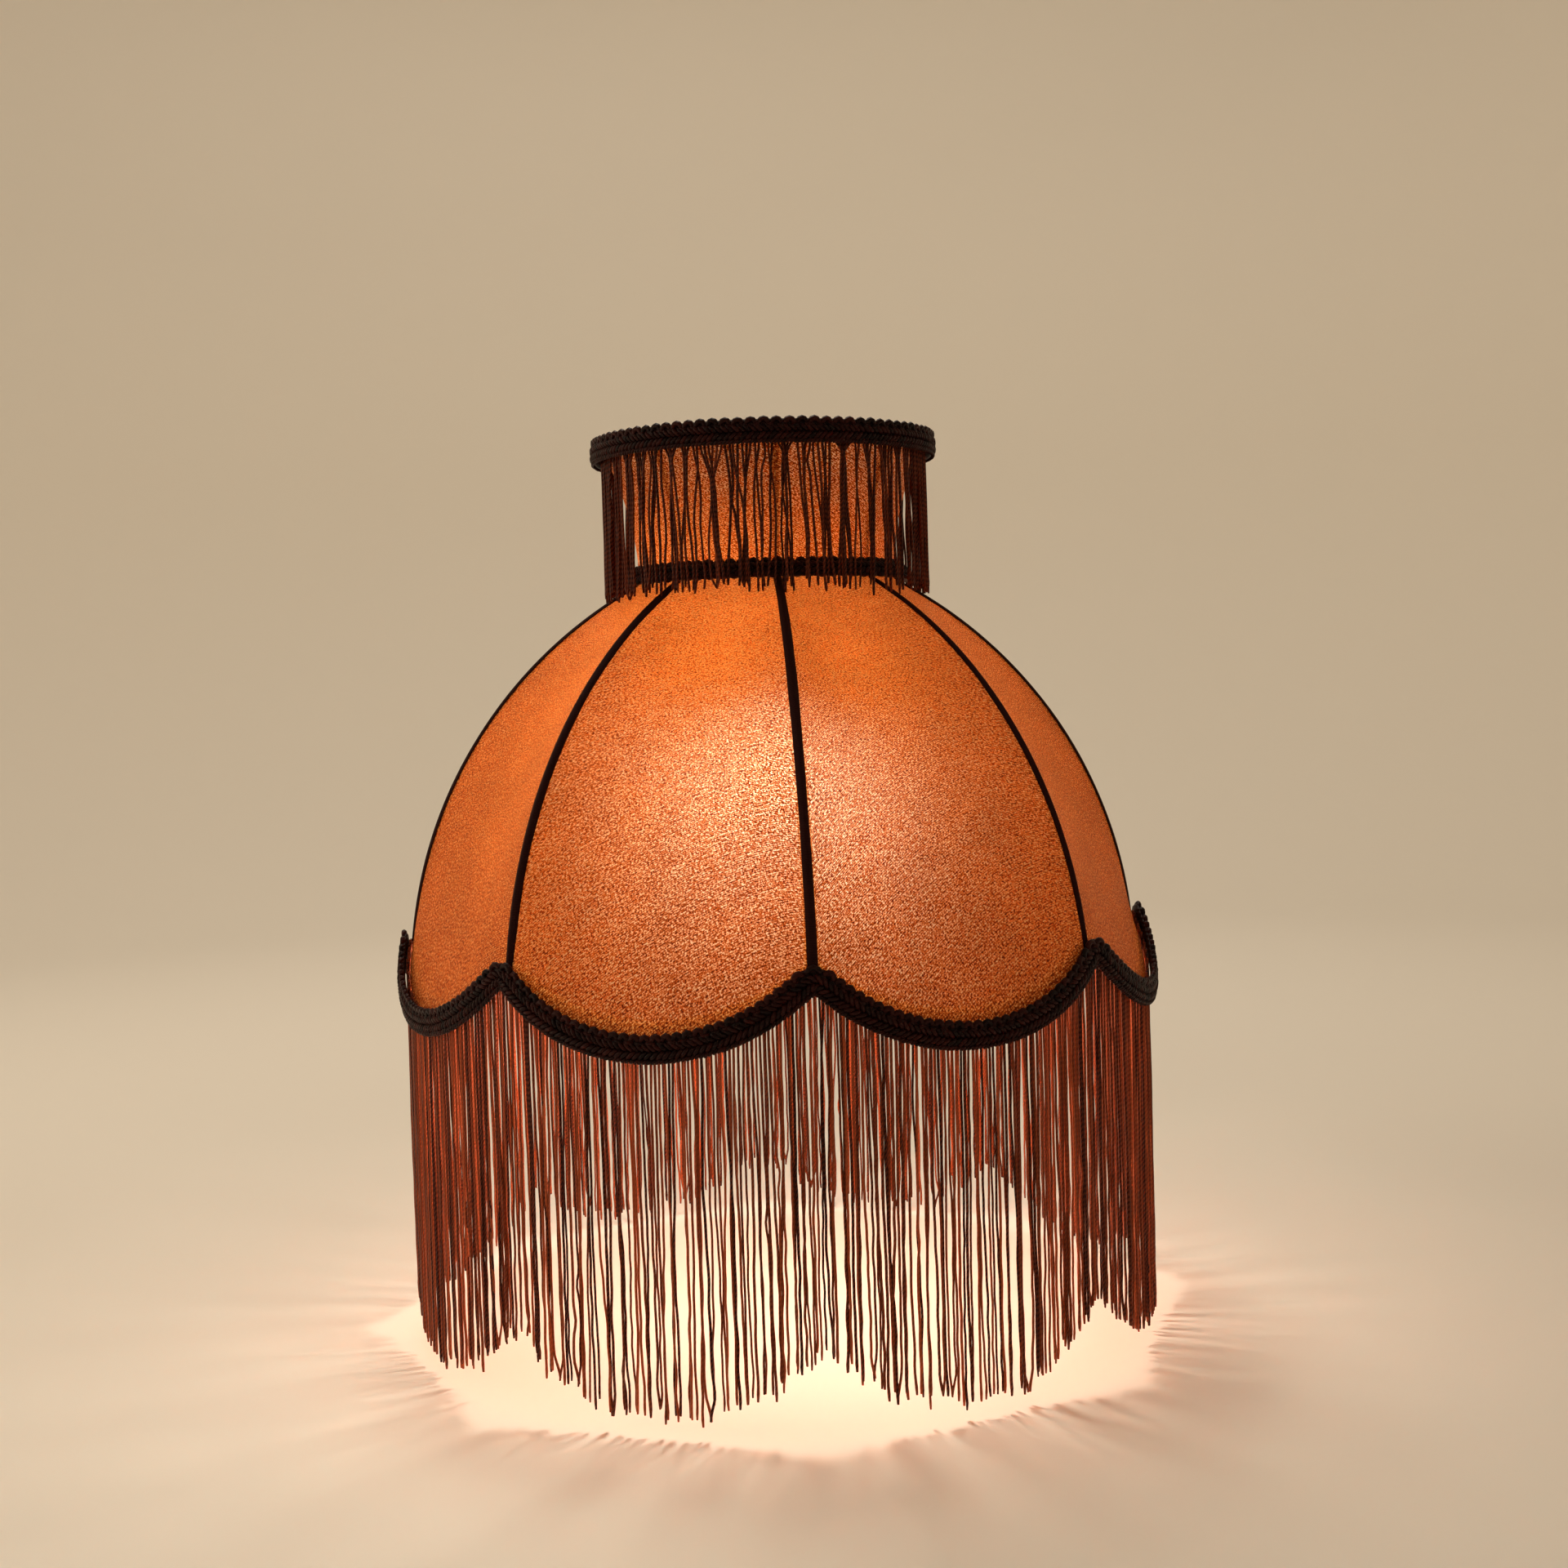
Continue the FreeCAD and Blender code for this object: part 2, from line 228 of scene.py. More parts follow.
def shade_cloth(name, sheer):
    """Rust-orange slubbed cloth that glows. sheer is the share of light that goes through it. Its
    threads let an even orange light through, and the gaps between them scatter pale light straight
    on, so it sparkles in front of a bulb."""
    material, tree = tree_of(name)
    cloth = add(tree, "ShaderNodeUVMap", uv_map="cloth").outputs[0]
    lie = radians(24)
    twill = add(
        tree,
        "ShaderNodeTexWave",
        {"Vector": stretch(tree, cloth, (1, 1, 1), radians(-62)), "Scale": 0.34, "Distortion": 2.0,
         "Detail": 2.0, "Detail Scale": 1.5},
        bands_direction="X",
    ).outputs["Fac"]
    grain = noise(tree, stretch(tree, cloth, (0.90, 1.0, 1), lie), 1.0, 3.0, 0.85)
    slub = noise(tree, stretch(tree, cloth, (0.12, 1.3, 1), lie), 1.0, 2.0)
    cloud = noise(tree, stretch(tree, cloth, (0.025, 0.025, 1)), 1.0, 2.0)
    # The weave's height is the sum of these, about one half. Its peaks are the gaps between threads
    weave = math(tree, "MULTIPLY_ADD", grain, 1.04, -0.094)
    weave = math(tree, "MULTIPLY_ADD", twill, 0.07, weave)
    weave = math(tree, "MULTIPLY_ADD", slub, 0.07, weave)
    fleck = noise(tree, stretch(tree, cloth, (0.14, 0.14, 1)), 1.0, 2.0)
    weave = math(tree, "ADD", weave, rescale(tree, fleck, 0.3, 0.7, -0.016, 0.016))
    patch = rescale(tree, cloud, 0.3, 0.7, 0.88, 1.08)
    # Its colour follows the weave; the pale top at the weave's peaks, the gaps between threads, is
    # painted sparkle
    colour = ramp(
        tree, weave,
        (0.40, (0.10, 0.008, 0.001)), (0.49, (0.44, 0.060, 0.005)),
        (0.56, (0.74, 0.140, 0.014)), (0.62, (0.95, 0.50, 0.18)),
    )
    colour = tint(tree, colour, patch)
    threads = ramp(
        tree, weave,
        (0.40, (0.09, 0.005, 0.001)), (0.50, (0.72, 0.125, 0.009)), (0.58, (1.0, 0.50, 0.12)),
    )
    # Darker in the light let through: doubled cloth beside the dome's ribs and at its rim, and
    # painted strut shadow on the collar
    seam = add(tree, "ShaderNodeAttribute", attribute_name="seam").outputs["Fac"]
    doubling_and_strut_shade = rescale(tree, seam, 0.0, 1.0, 1.0, 0.35)
    threads = tint(tree, threads, math(tree, "MULTIPLY", patch, doubling_and_strut_shade))
    openness = math(tree, "SUBTRACT", weave, math(tree, "MULTIPLY", seam, 0.3))
    gaps = rescale(tree, openness, 0.52, 0.60, 0.0, 1.0)
    normal = bump(tree, weave, 0.6, 0.0006)
    surface = add(
        tree,
        "ShaderNodeBsdfPrincipled",
        {"Base Color": colour, "Roughness": 0.6, "Specular IOR Level": 0.10, "Normal": normal,
         "Sheen Weight": 0.06, "Sheen Roughness": 0.35, "Sheen Tint": (1.0, 0.4, 0.15, 1)},
    ).outputs[0]
    glow = add(tree, "ShaderNodeBsdfTranslucent", {"Color": threads, "Normal": normal}).outputs[0]
    onward = add(
        tree, "ShaderNodeBsdfRefraction", {"Color": threads, "Roughness": 1.0, "IOR": 2.0}
    ).outputs[0]
    even = add(tree, "ShaderNodeMixShader", {0: 0.2, 1: glow, 2: onward}).outputs[0]
    sparkle = add(
        tree,
        "ShaderNodeBsdfRefraction",
        {"Color": (1.0, 0.86, 0.64, 1), "Roughness": 1.0, "IOR": 2.0},
    ).outputs[0]
    through = add(tree, "ShaderNodeMixShader", {0: gaps, 1: even, 2: sparkle}).outputs[0]
    both = add(tree, "ShaderNodeMixShader", {0: sheer, 1: surface, 2: through}).outputs[0]
    finish_with(tree, both)
    return material


def trim_yarn(name, dark, light, rough, turns):
    """Dark rayon yarn. Its plies run round each strand as a fine twist, turns to the metre, and it
    runs from dark to light by each strand's own tone, which in the short fringe is darkened as
    painted shade."""
    material, tree = tree_of(name)
    place = add(tree, "ShaderNodeTexCoord").outputs["Object"]
    normal = add(tree, "ShaderNodeNewGeometry").outputs["Normal"]
    split = add(tree, "ShaderNodeSeparateXYZ", {0: normal})
    height = add(tree, "ShaderNodeSeparateXYZ", {0: place}).outputs["Z"]
    angle = math(tree, "ARCTAN2", split.outputs["X"], split.outputs["Y"])
    plies = math(tree, "MULTIPLY", angle, 2.0)
    twist = math(tree, "SINE", math(tree, "MULTIPLY_ADD", height, turns * 2 * pi, plies))
    fibre = noise(tree, stretch(tree, place, (2600, 2600, 700)), 1.0, 2.0)
    tone = add(tree, "ShaderNodeAttribute", attribute_name="tone").outputs["Fac"]
    shade = math(tree, "MULTIPLY_ADD", twist, 0.11, math(tree, "MULTIPLY_ADD", fibre, 0.35, tone))
    colour = ramp(tree, math(tree, "MULTIPLY", shade, 0.6), (0.08, dark), (0.85, light))
    surface = add(
        tree,
        "ShaderNodeBsdfPrincipled",
        {"Base Color": colour, "Roughness": rescale(tree, fibre, 0.3, 0.7, rough, rough + 0.15),
         "Specular IOR Level": 0.12, "Normal": bump(tree, twist, 0.5, 0.0002)},
    )
    finish_with(tree, surface.outputs[0])
    return material


def tape_cloth():
    """Narrow dark tape with fine ribs across it."""
    material, tree = tree_of("tape_cloth")
    cloth = add(tree, "ShaderNodeUVMap", uv_map="cloth").outputs[0]
    ribs = add(
        tree,
        "ShaderNodeTexWave",
        {"Vector": cloth, "Scale": 0.42, "Distortion": 0.6},
        bands_direction="Y",
    ).outputs["Fac"]
    fuzz = noise(tree, stretch(tree, cloth, (2.0, 2.0, 1)), 1.0, 3.0)
    mixed = math(tree, "MULTIPLY_ADD", ribs, 0.4, math(tree, "MULTIPLY", fuzz, 0.6))
    colour = ramp(tree, mixed, (0.25, (0.007, 0.0007, 0.0006)), (0.8, (0.036, 0.0046, 0.0036)))
    surface = add(
        tree,
        "ShaderNodeBsdfPrincipled",
        {"Base Color": colour, "Roughness": 0.78, "Normal": bump(tree, mixed, 0.6, 0.0003),
         "Specular IOR Level": 0.12},
    )
    finish_with(tree, surface.outputs[0])
    return material


def dipped_wire():
    """Off-white dip coat on steel wire, a little thicker and yellower in places."""
    material, tree = tree_of("dipped_wire")
    place = add(tree, "ShaderNodeTexCoord").outputs["Object"]
    runs = noise(tree, stretch(tree, place, (60, 60, 25)), 1.0, 3.0)
    pits = noise(tree, stretch(tree, place, (900, 900, 900)), 1.0, 2.0)
    colour = ramp(tree, runs, (0.35, (0.62, 0.54, 0.42)), (0.65, (0.80, 0.75, 0.66)))
    surface = add(
        tree,
        "ShaderNodeBsdfPrincipled",
        {"Base Color": colour, "Roughness": rescale(tree, runs, 0.3, 0.7, 0.36, 0.55),
         "Normal": bump(tree, pits, 0.25, 0.0004)},
    )
    finish_with(tree, surface.outputs[0])
    return material


def plated_steel():
    """Satin brass plate with fine turning marks and a few dull spots."""
    material, tree = tree_of("plated_steel")
    place = add(tree, "ShaderNodeTexCoord").outputs["Object"]
    marks = noise(tree, stretch(tree, place, (250, 250, 3000)), 1.0, 2.0)
    spots = noise(tree, stretch(tree, place, (140, 140, 140)), 1.0, 3.0)
    colour = ramp(tree, spots, (0.3, (0.52, 0.40, 0.20)), (0.7, (0.78, 0.62, 0.33)))
    surface = add(
        tree,
        "ShaderNodeBsdfPrincipled",
        {"Base Color": colour, "Metallic": 1.0,
         "Roughness": rescale(tree, spots, 0.3, 0.7, 0.24, 0.42),
         "Normal": bump(tree, marks, 0.15, 0.0002)},
    )
    finish_with(tree, surface.outputs[0])
    return material


def plain_paper():
    """The stage's plain pale surface."""
    material, tree = tree_of("plain_paper")
    surface = add(
        tree, "ShaderNodeBsdfPrincipled", {"Base Color": (0.80, 0.76, 0.68, 1), "Roughness": 0.85}
    )
    finish_with(tree, surface.outputs[0])
    return material


# ---------------------------------------------------------------- shapes


def profile(s, offset=0.0):
    """Radius and height along the outline of the dome at a rib, for an array of distances s."""
    s = np.asarray(s, float)
    t = DOME_START + np.minimum(s, ARC_LENGTH) / DOME_BEND_R
    straight = np.maximum(s - ARC_LENGTH, 0.0)
    r = DOME_TOP_R + DOME_BEND_R * (np.sin(t) - sin(DOME_START)) + straight * np.cos(t)
    z = DOME_TOP_Z + DOME_BEND_R * (np.cos(t) - cos(DOME_START)) - straight * np.sin(t)
    return r + offset * np.sin(t), z + offset * np.cos(t)


def scallop(u):
    """How far an edge curve has dropped at u: 1 in the middle of a bay, 0 at its ribs."""
    rho = (1 + SCALLOP_DEPTH**2) / (2 * SCALLOP_DEPTH)
    return (np.sqrt(rho**2 - np.asarray(u, float) ** 2) - rho + SCALLOP_DEPTH) / SCALLOP_DEPTH


def panel_length(u):
    """From the dome's top down to the rim, at u of the way from a panel's middle to its rib."""
    return RIB_LENGTH + SCALLOP_DROP * scallop(u)


def across(k, r, z, u):
    """Points u of the way from the middle of panel k to its rib, on the round of radius r."""
    middle = FIRST_RIB + k * STEP + HALF
    out = r * cos(HALF) + r * (1 - cos(HALF)) * scallop(u)
    side = r * sin(HALF) * u
    x = out * cos(middle) - side * sin(middle)
    y = out * sin(middle) + side * cos(middle)
    return np.stack(np.broadcast_arrays(x, y, z), axis=-1)


def turned(points, angle):
    """Points turned about the shade's axis."""
    turn = np.array([[cos(angle), -sin(angle), 0], [sin(angle), cos(angle), 0], [0, 0, 1]])
    return points @ turn.T


def unit(vectors):
    return vectors / np.maximum(np.linalg.norm(vectors, axis=-1, keepdims=True), 1e-12)


def smooth_step(x):
    x = np.clip(x, 0, 1)
    return x * x * (3 - 2 * x)


def make_mesh(name, points, faces, uv=None, **attributes):
    """A smooth mesh from arrays, with a UV map and float attributes by point."""
    mesh = bpy.data.meshes.new(name)
    mesh.from_pydata(points.reshape(-1, 3).tolist(), [], faces)
    mesh.polygons.foreach_set("use_smooth", np.ones(len(mesh.polygons), bool))
    if uv is not None:
        corners = np.zeros(len(mesh.loops), np.int32)
        mesh.loops.foreach_get("vertex_index", corners)
        layer = mesh.uv_layers.new(name="cloth")
        layer.data.foreach_set("uv", uv.reshape(-1, 2)[corners].ravel())
    for key, values in attributes.items():
        layer = mesh.attributes.new(key, "FLOAT", "POINT")
        layer.data.foreach_set("value", np.asarray(values, np.float32).ravel())
    mesh.update()
    return mesh


def grid_faces(rows, columns, wrap=False):
    """Quads over a grid of points. A wrapped grid joins its last column to its first."""
    index = np.arange(rows * columns).reshape(rows, columns)
    if wrap:
        index = np.concatenate([index, index[:, :1]], axis=1)
    quads = [index[:-1, :-1], index[1:, :-1], index[1:, 1:], index[:-1, 1:]]
    return np.stack(quads, axis=-1).reshape(-1, 4).tolist()


def add_piece(name, mesh, material, slot, *nodes):
    """A piece on the part's one body, with its material, that hides the CAD nodes it replaces. slot
    is not used.
    """
    piece = bpy.data.objects.new(name, mesh)
    bpy.context.scene.collection.objects.link(piece)
    mesh.materials.append(material)
    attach(piece, "root")
    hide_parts(*nodes)
    return piece


def tubes(lines, radius, side, sides):
    """Points and faces of round tubes along lines, an array (tubes, points, 3). side is a direction
    across each tube."""
    count, length, _ = lines.shape
    along = unit(np.gradient(lines, axis=1))
    one = unit(np.cross(along, side))
    other = np.cross(along, one)
    angle = (np.arange(sides) * 2 * pi / sides)[None, None, :, None]
    reach = np.broadcast_to(radius, (count, length))[:, :, None, None]
    spokes = one[:, :, None] * np.cos(angle) + other[:, :, None] * np.sin(angle)
    ring = lines[:, :, None] + reach * spokes
    index = np.arange(count * length * sides).reshape(count, length, sides)
    here, there = index[:, :-1], index[:, 1:]
    quads = np.stack([here, np.roll(here, -1, 2), np.roll(there, -1, 2), there], axis=-1)
    caps = np.concatenate([index[:, 0, ::-1], index[:, -1]])
    return ring, quads.reshape(-1, 4).tolist() + caps.tolist()


def join(parts):
    """One set of points, faces and tones from several (points, faces, tone)."""
    points, faces, tones, start = [], [], [], 0
    for part_points, part_faces, part_tones in parts:
        flat = part_points.reshape(-1, 3)
        points.append(flat)
        faces.extend([[i + start for i in face] for face in part_faces])
        tones.append(np.broadcast_to(part_tones, len(flat)))
        start += len(flat)
    return np.concatenate(points), faces, np.concatenate(tones)


# ---------------------------------------------------------------- tracks that trims follow


def circle_line(radius, z, count=720):
    """A level circle round the shade's axis."""
    a = FIRST_RIB + np.arange(count) * 2 * pi / count
    return np.stack([radius * np.cos(a), radius * np.sin(a), np.full(count, z)], axis=-1)


def rim_line(offset, count=96):
    """The scalloped rim all the way round, offset outward."""
    u = -1 + 2 * np.arange(count) / count
    r, z = profile(panel_length(u), offset)
    return np.concatenate([across(k, r, z, u) for k in range(RIBS)])


def track(points, soften=0, lean=0.0):
    """A closed line to look up by distance: its places, and the directions along, up and out.
    soften rounds its corners that many times, and lean tips its up backward."""
    for _ in range(soften):
        points = (np.roll(points, 1, 0) + 2 * points + np.roll(points, -1, 0)) / 4
    closed = np.concatenate([points, points[:1]])
    distance = np.concatenate([[0], np.cumsum(np.linalg.norm(np.diff(closed, axis=0), axis=1))])
    along = unit(np.roll(points, -1, 0) - np.roll(points, 1, 0))
    radial = unit(points * [1, 1, 0])
    up = unit(np.cross(radial, along))
    out = np.cross(along, up)
    up, out = up * cos(lean) - out * sin(lean), out * cos(lean) + up * sin(lean)
    tables = [np.concatenate([table, table[:1]]) for table in (points, along, up, out)]
    return {"distance": distance, "length": distance[-1], "tables": tables}


def look_up(line, distance):
    """A track's places and its directions along, up and out, at distances round it."""
    wrapped = np.mod(distance, line["length"])
    found = []
    for table in line["tables"]:
        columns = [np.interp(wrapped, line["distance"], column) for column in table.T]
        found.append(np.stack(columns, axis=-1))
    return found


def lay(line, distance, along, up, out):
    """Places on a track: each distance moved along it, up and out."""
    place, _, rise, forth = look_up(line, distance + along)
    return place + rise * np.asarray(up)[..., None] + forth * np.asarray(out)[..., None]


# ---------------------------------------------------------------- cloth


def taut_panel(columns=41, rows=61, rounds=2500):
    """Panel 1's cloth, let settle between its edges with more tension across than down."""
    u = np.linspace(-1, 1, columns)[:, None]
    share = np.linspace(0, 1, rows)[None, :]
    s = PANEL_START + (panel_length(u) - PANEL_START) * share
    r, z = profile(s)
    points = across(0, r, z, u)
    squash = (columns - 1) / (rows - 1)
    pull = PANEL_PULL * squash**2
    beside = pull / (2 * pull + 2)
    for _ in range(rounds):
        points[1:-1, 1:-1] = beside * (points[:-2, 1:-1] + points[2:, 1:-1]) + (0.5 - beside) * (
            points[1:-1, :-2] + points[1:-1, 2:]
        )
    width = r * sin(HALF) * u
    return points, np.stack([width, s], axis=-1) / MM, u, share


def add_panels(material, rng):
    """Eight panels cut from one roll, each with its own puckers along the ribs and its hollow."""
    points, uv, u, share = taut_panel()
    # The cloth is doubled, and so darker, beside the ribs and at the rim
    seam = smooth_step((np.abs(u) - 0.955) / 0.03) * np.ones_like(share)
    hem = smooth_step((share - 0.965) / 0.02) * np.ones_like(u)
    along = unit(np.gradient(points, axis=1))
    normal = unit(np.cross(np.gradient(points, axis=0), along))
    outward = np.sign((normal * points * [1, 1, 0]).sum(-1, keepdims=True))
    for k in range(RIBS):
        phase = rng.uniform(0, 2 * pi, 6)
        pucker = sum(np.sin(share * pi * (14 + 5 * i) + phase[i] + u * 2) for i in range(3)) / 3
        edge = np.abs(u) ** 6 * (1 - u**2) * 4 * np.sin(share * pi)
        hollow = np.sin(u * 2.4 + phase[3]) * np.sin(share * 3.1 + phase[4])
        hollow = hollow * (1 - u**2) * np.sin(share * pi)
        moved = points + normal * outward * (pucker * edge * PUCKER + hollow * HOLLOW)[..., None]
        shift = rng.uniform(-CLOTH_ROLL, CLOTH_ROLL, 2)
        mesh = make_mesh(
            f"panel_cloth_{k + 1}",
            turned(moved, k * STEP),
            grid_faces(*points.shape[:2]),
            uv + shift,
            seam=np.maximum(seam, hem),
        )
        cloth = add_piece(mesh.name, mesh, material, "shade_fabric", f"dome_panel_{k + 1}")


def add_collar(material):
    """The collar's band: a trumpet flare, drawn in a little between the struts."""
    rows, columns = 25, 192
    offset = RING_WIRE / 2 + BAND_CLEAR + FABRIC
    low, high = WAIST_Z + BAND_START, TOP_Z + RING_WIRE / 2
    rise, spread = TOP_Z - WAIST_Z, TOP_R - WAIST_R
    bend = (rise**2 + spread**2) / (2 * spread)
    z = np.linspace(low, high, rows)[:, None]
    a = (FIRST_RIB + np.arange(columns + 1) * 2 * pi / columns)[None, :]
    r = WAIST_R + bend - np.sqrt(bend**2 - (z - WAIST_Z) ** 2) + offset
    share = (z - low) / (high - low)
    r = r - BAND_DRAW * np.sin(share * pi) * np.sin((a - FIRST_RIB) * RIBS / 2) ** 2
    points = np.stack(np.broadcast_arrays(r * np.cos(a), r * np.sin(a), z), axis=-1)
    uv = np.stack(np.broadcast_arrays((TOP_R + WAIST_R) / 2 * a, z), axis=-1) / MM
    # The cloth lies close on the struts, and is darker there in the light it lets through: painted
    # shadow of the struts
    strut = np.abs(np.sin((a - FIRST_RIB) * RIBS / 2)) * r * 2 / RIBS
    seam = (1 - smooth_step((strut - 1.0 * MM) / (1.2 * MM))) * 0.8
    mesh = make_mesh("collar_cloth", points, grid_faces(rows, columns + 1), uv, seam=seam)
    mesh.flip_normals()
    cloth = add_piece(mesh.name, mesh, material, "shade_fabric", "collar_band")


def add_tapes(material, rng):
    """Tapes folded over the seams. Each is a closed strip, its middle on the rib's ridge."""
    s = np.linspace(TAPE_START, RIB_LENGTH + TAPE_END, 90)[:, None]
    # The section: places across, in half widths, and their heights over the rib's ridge
    spots = np.array([-1, -0.92, -0.5, -0.12, 0.12, 0.5, 0.92, 1, 0.5, 0, -0.5])[None, :]
    crown = np.array([0.1, 0.75, 1.0, 1.1, 1.1, 1.0, 0.75, 0.1, -0.1, -0.1, -0.1])[None, :]
    for k, wide in enumerate(TAPE_WIDTHS):
        wander = 0.25 * np.sin(s / MM / 23 + rng.uniform(0, 6))
        wander = wander + 0.12 * np.sin(s / MM / 7 + rng.uniform(0, 6))
        half = (wide + wander) / 2 * MM
        side = spots * half + 0.2 * MM * np.sin(s / MM / 31 + rng.uniform(0, 6))
        height = crown * TAPE_RISE - np.abs(side) * tan(HALF) * 1.05
        r, z = profile(s, height + TAPE_LIFT)
        a = FIRST_RIB + k * STEP
        x, y = r * cos(a) - side * sin(a), r * sin(a) + side * cos(a)
        points = np.stack([x, y, z + 0 * side], axis=-1)
        uv = np.stack(np.broadcast_arrays(side, s), axis=-1) / MM
        rows, columns = points.shape[:2]
        faces = grid_faces(rows, columns, wrap=True)
        last = (rows - 1) * columns
        faces += [list(range(columns)), list(range(last, last + columns))[::-1]]
        mesh = make_mesh(f"seam_tape_{k + 1}", points, faces, uv)
        add_piece(mesh.name, mesh, material, "rib_tape", f"rib_tape_{k + 1}")


# ---------------------------------------------------------------- gimps

# mm between the strokes of the herringbone, and between the turns of the cord below it
BODY_PITCH = 2.7
CORD_PITCH = 1.9


def laid_elements(line, rng, pitch, template, radius, start=0.0):
    """Short pieces of cord repeated round a track. template is (points, 3): along, up, out. It,
    pitch and radius are in mm, and start is a share of the pitch."""
    count = int(round(line["length"] / (pitch * MM)))
    step = line["length"] / count
    template = np.asarray(template, float) * MM
    distance = (np.arange(count)[:, None] + start) * step
    jitter = rng.normal(0, 0.06 * MM, (count, 1, 3))
    shape = template[None] + jitter
    lines = lay(line, distance, shape[..., 0], shape[..., 1], shape[..., 2])
    out = look_up(line, distance)[3]
    taper = 1 - 0.25 * np.linspace(-1, 1, template.shape[0]) ** 4
    thickness = radius * MM * taper[None] * rng.uniform(0.93, 1.07, (count, 1))
    points, faces = tubes(lines, thickness, np.broadcast_to(out, lines.shape), CORD_SIDES)
    tone = np.repeat(rng.uniform(0.0, 1.0, count), template.shape[0] * CORD_SIDES)
    return points, faces, tone


def arch(width, base, rise, out, count=7):
    """A loop of cord that stands on base and bulges out. It hangs where rise is below nought."""
    t = np.linspace(0, pi, count)
    along, up = -width / 2 * np.cos(t), base + rise * np.sin(t)
    return np.stack([along, up, out * (0.6 + 0.4 * np.sin(t))], axis=-1)


def slanted(start, end, out, count=5):
    """A bowed stroke from start to end, each (along, up)."""
    t = np.linspace(0, 1, count)[:, None]
    flat = np.array(start) * (1 - t) + np.array(end) * t
    return np.concatenate([flat, out + 0.55 * np.sin(t * pi)], axis=1)


def backing(line, half_height, thickness, count=1400, sides=10):
    """The woven strip behind the cords of a gimp."""
    distance = np.arange(count) * line["length"] / count
    t = np.arange(sides) * 2 * pi / sides
    distance, t = np.meshgrid(distance, t, indexing="ij")
    points = lay(line, distance, 0, half_height * MM * np.cos(t), thickness * MM * np.sin(t))
    index = np.arange(count * sides).reshape(count, sides)
    here, there = index, np.roll(index, -1, 0)
    quads = np.stack([here, there, np.roll(there, -1, 1), np.roll(here, -1, 1)], axis=-1)
    return points, quads.reshape(-1, 4).tolist(), 0.2


def gimp(name, line, rng, material, node, height, edge_pitch, lower_loops):
    """A braid: bumps of looped cord on its upper edge, a herringbone body, and a corded or looped
    lower edge. Its cords are laid out in millimetres, along the braid and up from its middle."""
    top = height / 2
    loop_width, loop_base, loop_rise = edge_pitch * 0.82, top - 4.6, 3.3
    upper_loop = arch(loop_width, loop_base, loop_rise, 1.0)
    upper_link = slanted((-2.2, top - 4.4), (2.2, top - 4.4), 0.9)
    upper_stroke = slanted((-2.3, 2.6), (1.4, -0.5), 1.3)
    lower_stroke = slanted((1.4, -1.0), (-2.3, -4.1), 1.3)
    parts = [
        backing(line, height * 0.40, 1.3),
        laid_elements(line, rng, edge_pitch, upper_loop, 1.35),
        laid_elements(line, rng, edge_pitch, upper_link, 1.0, 0.5),
        laid_elements(line, rng, BODY_PITCH, upper_stroke, 1.05),
        laid_elements(line, rng, BODY_PITCH, lower_stroke, 1.05, 0.5),
    ]
    if lower_loops:
        lower_loop = arch(loop_width, -loop_base, -loop_rise, 1.0)
        parts.append(laid_elements(line, rng, edge_pitch, lower_loop, 1.3, 0.5))
    else:
        lower_cord = slanted((-1.3, -top + 0.9), (1.3, -top + 2.7), 0.9)
        parts.append(laid_elements(line, rng, CORD_PITCH, lower_cord, 0.85))
    points, faces, tone = join(parts)
    mesh = make_mesh(name, points, faces, tone=tone)
    add_piece(name, mesh, material, "braid", node)


# ---------------------------------------------------------------- fringes


def waves(rng, count, s, sizes):
    """Smooth paths down each strand, as sums of waves (cycles, size), starting at nought."""
    total = np.zeros((count, len(s)))
    for cycles, size in sizes:
        speed = cycles * rng.uniform(0.7, 1.3, (count, 1))
        phase = rng.uniform(0, 2 * pi, (count, 1))
        reach = size * rng.uniform(0.3, 1.3, (count, 1))
        total += reach * (np.sin(2 * pi * speed * s + phase) - np.sin(phase))
    return total


def wandering(rng, count, s, look):
    """A strand's drift, which begins at its root, and its wiggles, which grow towards its end."""
    drift = waves(rng, count, s, look["waves"]) * smooth_step(s * 5)
    return drift + waves(rng, count, s, look["wiggles"]) * s


def clumped(rng, distance, s, look):
    """Sideways moves that draw neighbouring strands together into loose locks."""
    count = len(distance)
    pull = np.zeros((count, len(s)))
    first = 0
    while first < count:
        size = int(rng.choice(len(look["locks"]), p=look["locks"])) + 1
        members = slice(first, min(first + size, count))
        centre = distance[members].mean()
        begin, full = rng.uniform(*look["gather_from"]), rng.uniform(0.2, 0.6)
        weight = rng.uniform(*look["gather"]) * smooth_step((s - begin) / full)
        pull[members] = (centre - distance[members])[:, None] * weight
        first += size
    return pull * smooth_step(s * 8)


